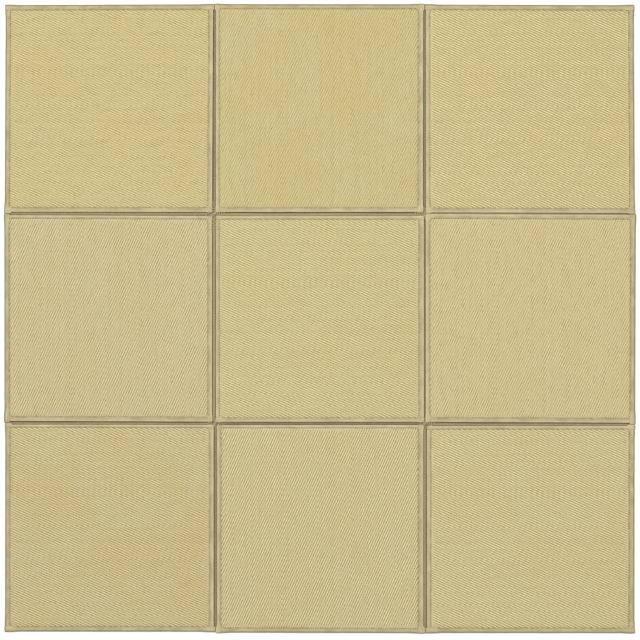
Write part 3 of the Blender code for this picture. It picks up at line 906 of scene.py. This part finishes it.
def crossed_threads(crossing):
    """Threads crossed over the hole where four panels' corners meet."""
    row, column = crossing.row, crossing.column
    panels = [f"r{row + down}c{column + on}" for down in (0, 1) for on in (0, 1)]
    # The corners round the hole: bottom right, bottom left, top right and top left of the panels
    points = [corners_of(panel)[k] for panel, k in zip(panels, (1, 0, 3, 2))]
    bm = bmesh.new()
    sunk = bm.verts.layers.float.new("sunk")
    # The first diagonal's threads lie sunk under the second's, darkened with painted shade
    diagonals = ((points[0], points[3], crossing.under), (points[1], points[2], crossing.over))
    for slant, (start, stop, count) in enumerate(diagonals):
        ahead = (stop - start).normalized()
        aside = Vector((-ahead.y, ahead.x, 0))
        for k in range(count):
            wobble = noise.noise(Vector((k * 2.3, slant * 3.0, start.x * 5 + start.y * 9)))
            shift = aside * ((k - (count - 1) / 2) * CROSSED_PITCH + 0.8 * MM * wobble)
            reach = (1.5 + 1.5 * wobble) * MM
            top = THICKNESS - (2.4 - 1.2 * slant) * MM
            path = [
                start + shift - ahead * reach + Vector((0, 0, THICKNESS - 0.4 * MM)),
                start + shift + ahead * 1 * MM + Vector((0, 0, THICKNESS + 0.2 * MM)),
                start.lerp(stop, 0.5) + shift * 0.8 + Vector((0, 0, top)),
                stop + shift - ahead * 1 * MM + Vector((0, 0, THICKNESS + 0.2 * MM)),
                stop + shift + ahead * reach + Vector((0, 0, THICKNESS - 0.4 * MM)),
            ]
            tube(bm, path, BAR / 2, 6, sunk, 0.5 * (1 - slant))
    bmesh.ops.recalc_face_normals(bm, faces=bm.faces)
    return bm


# Studio
def set_studio():
    """The camera straight above the mat, paper under it, two softboxes and an even white sky."""
    camera = bpy.data.cameras.new("camera")
    camera.lens = LENS
    camera.sensor_width = SENSOR
    camera.clip_end = 100
    height = LENS / SENSOR * PIXELS / PIXELS_PER_METRE
    eye = bpy.data.objects.new("camera", camera)
    eye.location = (*EYE, THICKNESS + height)
    bpy.context.scene.collection.objects.link(eye)
    bpy.context.scene.camera = eye

    bm = bmesh.new()
    bmesh.ops.create_grid(bm, x_segments=1, y_segments=1, size=FLOOR)
    floor_piece = make_piece("floor", bm, studio_paper())

    for name, place, size, power in (
        ("softbox_above", (-1.2, 1.8, 6.5), 3.0, 350),
        ("softbox_right", (4.5, -1.0, 4.5), 3.0, 60),
    ):
        light = bpy.data.lights.new(name, "AREA")
        light.shape = "SQUARE"
        light.size = size
        light.energy = power
        lamp = bpy.data.objects.new(name, light)
        lamp.location = place
        lamp.rotation_mode = "QUATERNION"
        lamp.rotation_quaternion = (-Vector(place)).to_track_quat("-Z", "Y")
        lamp.visible_camera = False
        bpy.context.scene.collection.objects.link(lamp)

    world = bpy.data.worlds.new("studio")
    world.use_nodes = True
    background = world.node_tree.nodes["Background"]
    background.inputs["Color"].default_value = (1, 1, 1, 1)
    background.inputs["Strength"].default_value = 0.5
    bpy.context.scene.world = world
    bpy.context.scene.view_settings.view_transform = "Standard"


# The mat
# Per panel: its tint, which is its own tone and partly painted shade that evens out the softbox's
# stronger light towards the top left, how much painted shade darkens its troughs, and how
# strongly it has yellowed
Finish = namedtuple("Finish", "straw contrast warmth")
FINISH = {
    "r1c1": Finish("#F0EDE1", 0.78, 0.2),
    "r1c2": Finish("#E8E6DB", 0.66, 0.42),
    "r1c3": Finish("#FEFBF2", 1.02, 0.1),
    "r2c1": Finish("#F2EFF0", 0.84, 0.18),
    "r2c2": Finish("#F7F6ED", 0.9, 0.14),
    "r2c3": Finish("#F2EEE9", 0.77, 0.1),
    "r3c1": Finish("#F4F2F0", 0.9, 0.4),
    "r3c2": Finish("#FAF8F8", 0.97, 0.18),
    "r3c3": Finish("#FCFAF8", 0.96, 0.2),
}


def build_mat():
    """Every piece of the mat, and what it stands for in the shared frame."""
    # Tapes on the mat's own edge get painted shade along the fold, those along the laced gaps a painted
    # highlight
    painted_shade_outside = cotton_tape("cotton_tape_painted_shade_at_the_fold", "#766E50", 0.85, 4.2 * MM, 6.4 * MM)
    painted_highlight_inside = cotton_tape("cotton_tape_painted_highlight_at_the_fold", "#DCD0AC", 0.28, 3.4 * MM, 5.4 * MM)
    lace = waxed_thread("cotton_lacing_thread", "#C3B389", "#97885F")
    sewing = waxed_thread("cotton_sewing_thread", "#CFC097", "#B5A57B")
    for panel in BINDINGS:
        slab = make_piece("woven_rush_" + panel, rush_panel(panel), woven_rush(panel, *FINISH[panel]), 1.0)
        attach(slab, "root")
        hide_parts("rush_" + panel)
        for turn, side in enumerate(SIDES):
            tucked = is_tucked(panel, turn)
            outside = (panel[1::2], side) in OUTSIDE
            bm, flat = binding_tape(panel, turn, tucked, outside)
            tape = make_piece(f"binding_{panel}_{side}", bm, painted_shade_outside if outside else painted_highlight_inside, 1.0)
            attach(tape, "root")
            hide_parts(f"tape_{panel}_{side}")
        sewn = make_piece("stitching_" + panel, stitching(panel), sewing)
        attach(sewn, "root")
    for hinge in HINGES:
        laced = make_piece("laced_" + hinge.node, laced_hinge(hinge), lace, 1.2)
        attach(laced, "root")
        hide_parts(hinge.node)
    for crossing in CROSSINGS:
        name = f"crossed_threads_{crossing.row}_{crossing.column}"
        crossed = make_piece(name, crossed_threads(crossing), lace)
        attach(crossed, "root")


set_studio()
build_mat()
